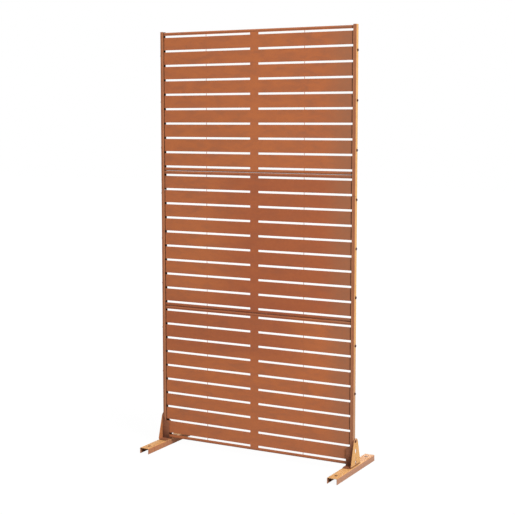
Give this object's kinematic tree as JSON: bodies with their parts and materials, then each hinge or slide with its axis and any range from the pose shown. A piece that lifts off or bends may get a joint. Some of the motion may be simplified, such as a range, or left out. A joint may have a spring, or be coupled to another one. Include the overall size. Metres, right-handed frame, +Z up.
{
  "type": "free-standing privacy screen",
  "caption": "Upright garden privacy screen: slotted sheet-steel panels stacked between two channel posts, bolted to tapered gussets on channel feet.",
  "frame": {"origin": "on the ground, midway between the two feet and midway along them", "axes": "+X along the screen to the viewer's right, +Y away from the viewer through the screen (front faces -Y), +Z up"},
  "size_m": [0.9982, 0.404, 1.93],
  "materials": {
    "panel_coat": "rust-brown weathered powder coat, matt",
    "post_coat": "rust-brown weathered powder coat, matt",
    "stand_coat": "lighter rust-brown weathered powder coat, matt",
    "fixing_steel": "dark brown coated steel"
  },
  "bodies": {
    "root": {"panel_bottom": "panel_coat", "panel_middle": "panel_coat", "panel_top": "panel_coat", "foot_left": "stand_coat", "pad_left": "stand_coat", "bracket_left": "stand_coat", "spacer_left": "fixing_steel", "cleat_left_front": "post_coat", "cleat_left_rear": "post_coat", "post_left_lower": "post_coat", "post_left_upper": "post_coat", "splice_left": "fixing_steel", "bolt_left_1": "fixing_steel", "nut_left_1": "fixing_steel", "bolt_left_2": "fixing_steel", "nut_left_2": "fixing_steel", "bolt_left_3": "fixing_steel", "nut_left_3": "fixing_steel", "bolt_left_4": "fixing_steel", "nut_left_4": "fixing_steel", "bolt_left_5": "fixing_steel", "nut_left_5": "fixing_steel", "bolt_left_6": "fixing_steel", "nut_left_6": "fixing_steel", "bolt_left_7": "fixing_steel", "nut_left_7": "fixing_steel", "bolt_left_8": "fixing_steel", "nut_left_8": "fixing_steel", "bolt_left_9": "fixing_steel", "nut_left_9": "fixing_steel", "foot_right": "stand_coat", "pad_right": "stand_coat", "bracket_right": "stand_coat", "spacer_right": "fixing_steel", "cleat_right_front": "post_coat", "cleat_right_rear": "post_coat", "post_right_lower": "post_coat", "post_right_upper": "post_coat", "splice_right": "fixing_steel", "bolt_right_1": "fixing_steel", "nut_right_1": "fixing_steel", "bolt_right_2": "fixing_steel", "nut_right_2": "fixing_steel", "bolt_right_3": "fixing_steel", "nut_right_3": "fixing_steel", "bolt_right_4": "fixing_steel", "nut_right_4": "fixing_steel", "bolt_right_5": "fixing_steel", "nut_right_5": "fixing_steel", "bolt_right_6": "fixing_steel", "nut_right_6": "fixing_steel", "bolt_right_7": "fixing_steel", "nut_right_7": "fixing_steel", "bolt_right_8": "fixing_steel", "nut_right_8": "fixing_steel", "bolt_right_9": "fixing_steel", "nut_right_9": "fixing_steel"}
  },
  "joints": []
}
